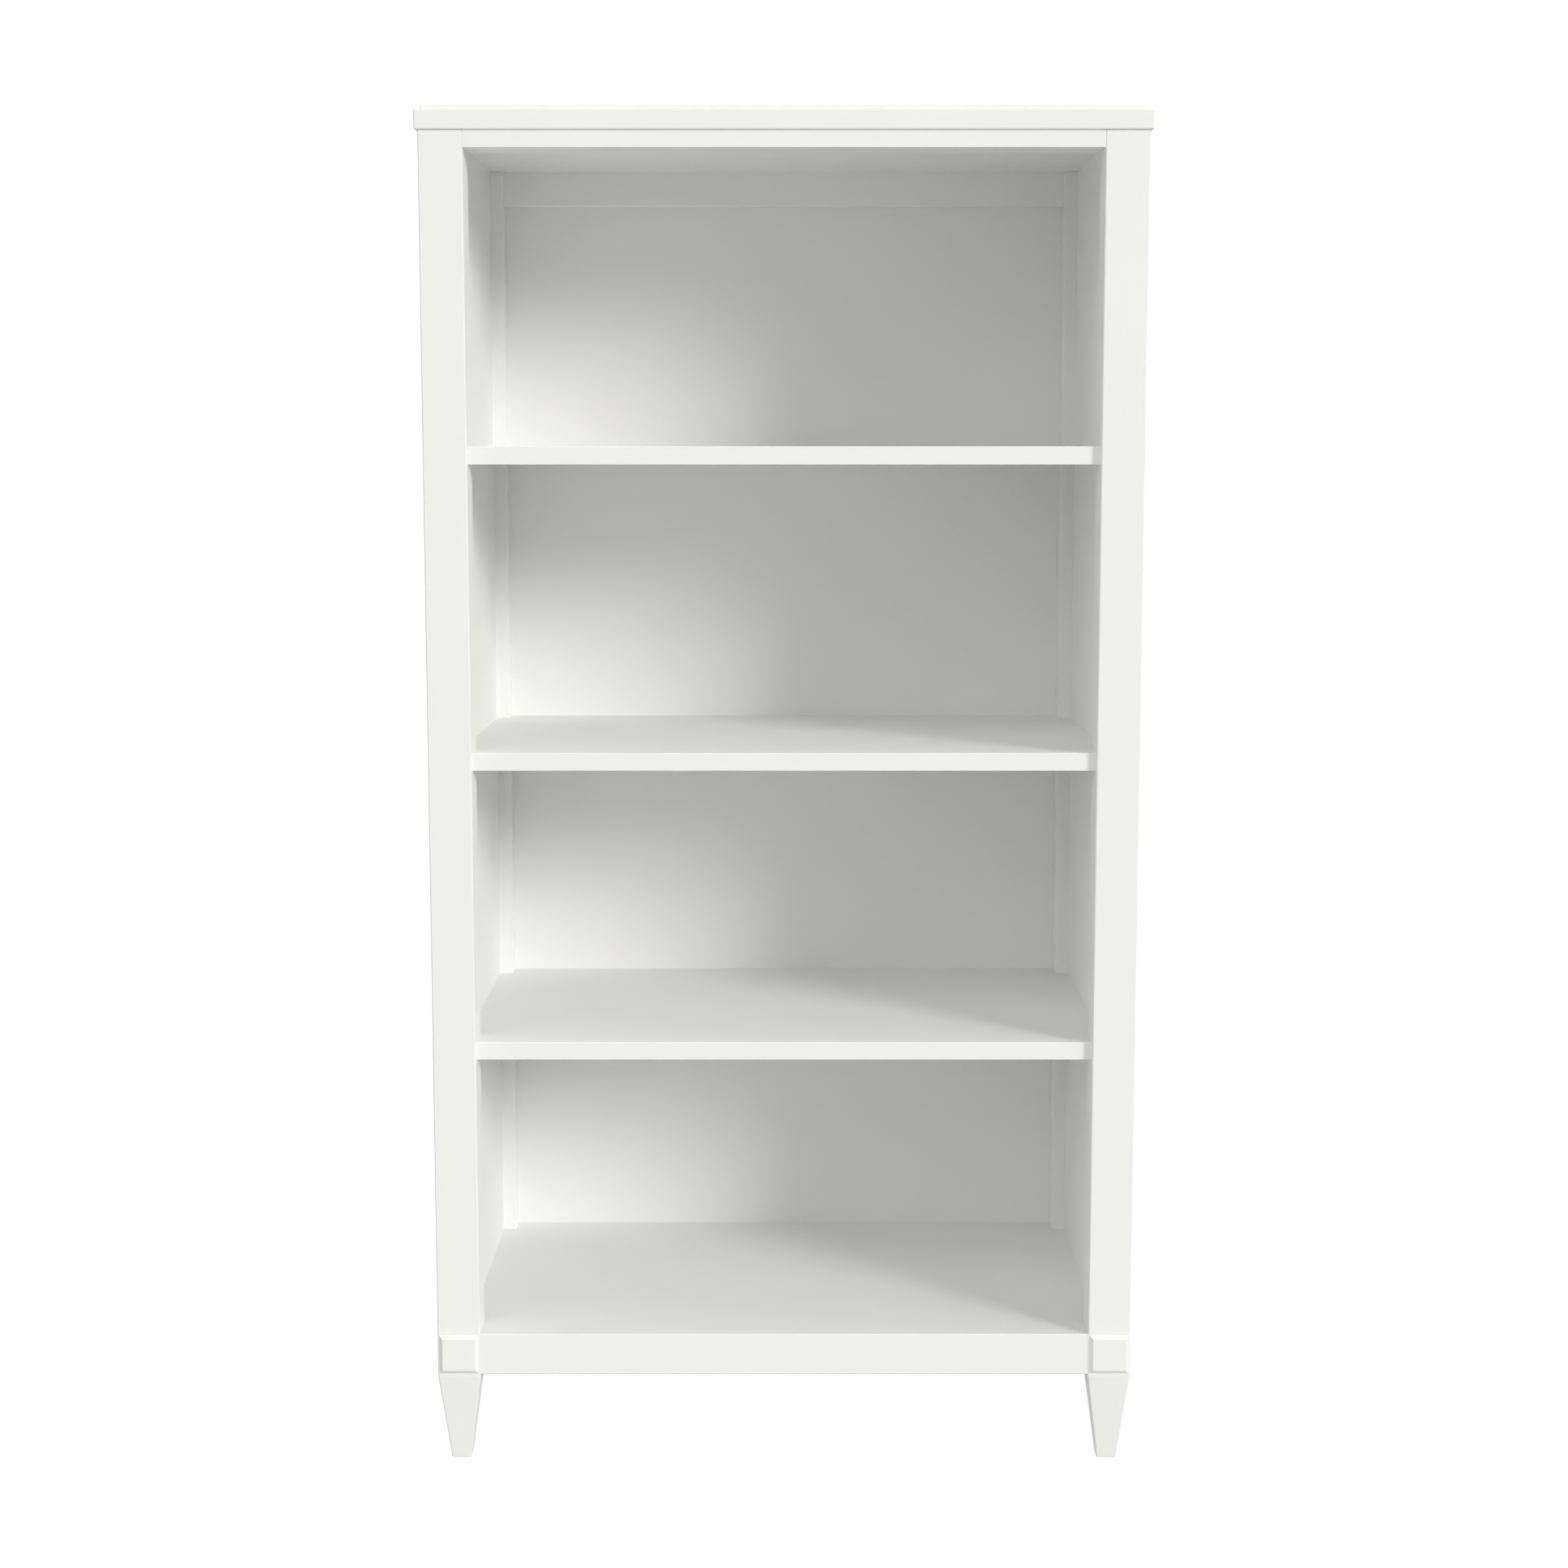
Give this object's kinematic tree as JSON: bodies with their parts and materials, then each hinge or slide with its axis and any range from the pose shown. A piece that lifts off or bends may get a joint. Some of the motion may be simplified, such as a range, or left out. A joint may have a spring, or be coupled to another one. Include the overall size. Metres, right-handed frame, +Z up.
{
  "type": "miniature bookcase",
  "caption": "Open-fronted miniature bookcase: fixed shelves housed in recessed side panels, square legs with tapered feet and raised blocks, and a flat top with a thin raised plate.",
  "frame": {"origin": "on the ground under the middle of the bounding box", "axes": "+Z up, -Y towards the open front, +X to the right seen from the front"},
  "size_m": [0.0646, 0.0374, 0.1231],
  "materials": {
    "painted_frame": "satin white paint",
    "painted_boards": "satin white paint",
    "painted_panels": "satin white paint"
  },
  "bodies": {
    "root": {"top_cap": "painted_boards", "top_board": "painted_boards", "front_top_rail": "painted_frame", "front_bottom_rail": "painted_frame", "back_top_rail": "painted_frame", "back_bottom_rail": "painted_frame", "side_top_rail_left": "painted_frame", "side_top_rail_right": "painted_frame", "side_bottom_rail_left": "painted_frame", "side_bottom_rail_right": "painted_frame", "front_leg_left": "painted_frame", "front_leg_right": "painted_frame", "back_leg_left": "painted_frame", "back_leg_right": "painted_frame", "leg_block_left": "painted_frame", "leg_block_right": "painted_frame", "side_panel_left": "painted_panels", "side_panel_right": "painted_panels", "back_panel": "painted_panels", "floor_board": "painted_boards", "lower_shelf": "painted_boards", "middle_shelf": "painted_boards", "upper_shelf": "painted_boards"}
  },
  "joints": []
}
